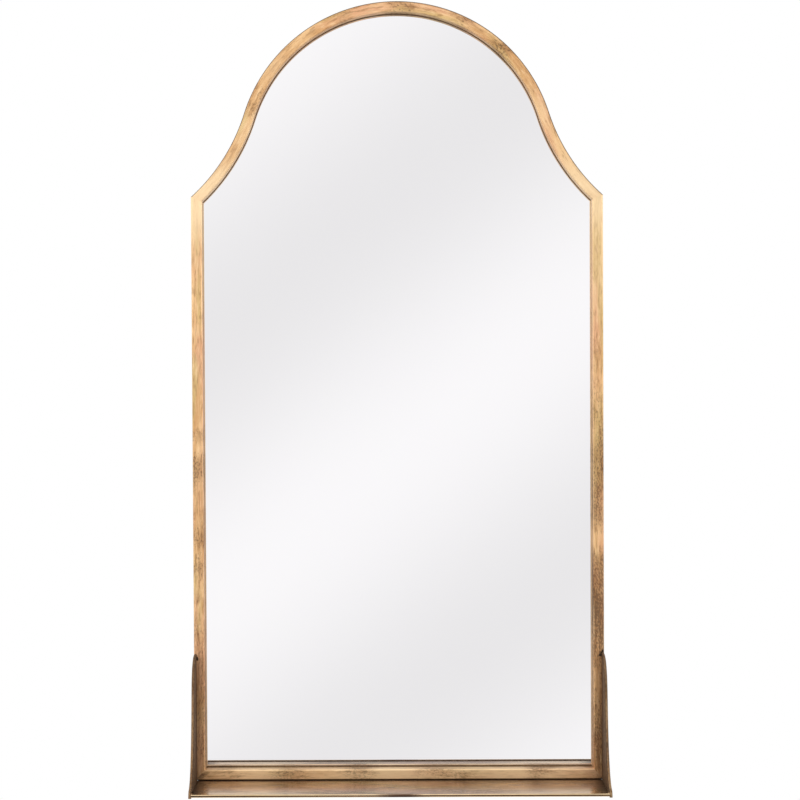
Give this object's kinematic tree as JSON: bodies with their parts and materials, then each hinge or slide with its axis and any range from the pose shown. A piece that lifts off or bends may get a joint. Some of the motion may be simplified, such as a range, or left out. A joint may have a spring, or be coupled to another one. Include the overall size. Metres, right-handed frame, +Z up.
{
  "type": "wall mirror with shelf",
  "caption": "Arched wall mirror in an antiqued gold steel frame, with a shallow rolled-edge shelf between curved side cheeks at its foot.",
  "frame": {"origin": "on the wall plane behind the mirror, midway between the pivots of the two hanger rings and level with them", "axes": "+Z up, +X to the right as seen from the room, +Y out of the back towards the wall; the room is on the -Y side"},
  "size_m": [0.61, 0.141, 1.1595],
  "materials": {
    "antique_gold_steel": "worn antique gold over steel, speckled with brown patina, satin",
    "silvered_glass": "clear float glass silvered on the back",
    "cushion_paper": "soft packing sheet between glass and board",
    "backing_fibreboard": "raw brown fibreboard, matt",
    "zinc_hardware": "bright zinc plate, slightly dulled",
    "bumper_rubber": "soft black rubber, matt"
  },
  "bodies": {
    "mirror_frame": {"frame_arch": "antique_gold_steel", "frame_bottom_rail": "antique_gold_steel", "frame_stile_left": "antique_gold_steel", "frame_stile_right": "antique_gold_steel", "glass_stop_arch": "antique_gold_steel", "glass_stop_foot": "antique_gold_steel", "glass_stop_left": "antique_gold_steel", "glass_stop_right": "antique_gold_steel", "shelf_floor": "antique_gold_steel", "shelf_cheek_left": "antique_gold_steel", "shelf_cheek_right": "antique_gold_steel", "mirror_glass": "silvered_glass", "cushion_sheet": "cushion_paper", "backing_board": "backing_fibreboard", "hanger_strap_left": "zinc_hardware", "hanger_strap_right": "zinc_hardware", "hanger_screw_left_upper": "zinc_hardware", "hanger_screw_left_lower": "zinc_hardware", "hanger_screw_right_upper": "zinc_hardware", "hanger_screw_right_lower": "zinc_hardware", "button_screw_crown_left": "zinc_hardware", "button_screw_left_upper": "zinc_hardware", "button_screw_left_lower": "zinc_hardware", "button_screw_foot_left": "zinc_hardware", "button_screw_crown_right": "zinc_hardware", "button_screw_right_upper": "zinc_hardware", "button_screw_right_lower": "zinc_hardware", "button_screw_foot_right": "zinc_hardware", "wall_bumper_left_upper": "bumper_rubber", "wall_bumper_left_lower": "bumper_rubber", "wall_bumper_right_upper": "bumper_rubber", "wall_bumper_right_lower": "bumper_rubber"},
    "turn_button_crown_left": {"turn_button_crown_left": "zinc_hardware"},
    "turn_button_left_upper": {"turn_button_left_upper": "zinc_hardware"},
    "turn_button_left_lower": {"turn_button_left_lower": "zinc_hardware"},
    "turn_button_foot_left": {"turn_button_foot_left": "zinc_hardware"},
    "turn_button_crown_right": {"turn_button_crown_right": "zinc_hardware"},
    "turn_button_right_upper": {"turn_button_right_upper": "zinc_hardware"},
    "turn_button_right_lower": {"turn_button_right_lower": "zinc_hardware"},
    "turn_button_foot_right": {"turn_button_foot_right": "zinc_hardware"},
    "hanger_ring_left": {"hanger_ring_left": "zinc_hardware"},
    "hanger_ring_right": {"hanger_ring_right": "zinc_hardware"}
  },
  "joints": [
    {"name": "turn_button_crown_left_swivel", "type": "hinge", "parent": "mirror_frame", "child": "turn_button_crown_left", "pos_m": [-0.15323, -0.006, 0.28018], "axis": [0, 1, 0], "range_deg": [-90, 90]},
    {"name": "turn_button_left_upper_swivel", "type": "hinge", "parent": "mirror_frame", "child": "turn_button_left_upper", "pos_m": [-0.297, -0.006, -0.168], "axis": [0, 1, 0], "range_deg": [-90, 90]},
    {"name": "turn_button_left_lower_swivel", "type": "hinge", "parent": "mirror_frame", "child": "turn_button_left_lower", "pos_m": [-0.297, -0.006, -0.588], "axis": [0, 1, 0], "range_deg": [-90, 90]},
    {"name": "turn_button_foot_left_swivel", "type": "hinge", "parent": "mirror_frame", "child": "turn_button_foot_left", "pos_m": [-0.15, -0.006, -0.8], "axis": [0, 1, 0], "range_deg": [-90, 90]},
    {"name": "turn_button_crown_right_swivel", "type": "hinge", "parent": "mirror_frame", "child": "turn_button_crown_right", "pos_m": [0.15323, -0.006, 0.28018], "axis": [0, 1, 0], "range_deg": [-90, 90]},
    {"name": "turn_button_right_upper_swivel", "type": "hinge", "parent": "mirror_frame", "child": "turn_button_right_upper", "pos_m": [0.297, -0.006, -0.168], "axis": [0, 1, 0], "range_deg": [-90, 90]},
    {"name": "turn_button_right_lower_swivel", "type": "hinge", "parent": "mirror_frame", "child": "turn_button_right_lower", "pos_m": [0.297, -0.006, -0.588], "axis": [0, 1, 0], "range_deg": [-90, 90]},
    {"name": "turn_button_foot_right_swivel", "type": "hinge", "parent": "mirror_frame", "child": "turn_button_foot_right", "pos_m": [0.15, -0.006, -0.8], "axis": [0, 1, 0], "range_deg": [-90, 90]},
    {"name": "hanger_ring_left_swing", "type": "hinge", "parent": "mirror_frame", "child": "hanger_ring_left", "pos_m": [-0.297, -0.00325, 0], "axis": [1, 0, 0], "range_deg": [0, 180]},
    {"name": "hanger_ring_right_swing", "type": "hinge", "parent": "mirror_frame", "child": "hanger_ring_right", "pos_m": [0.297, -0.00325, 0], "axis": [1, 0, 0], "range_deg": [0, 180]}
  ]
}
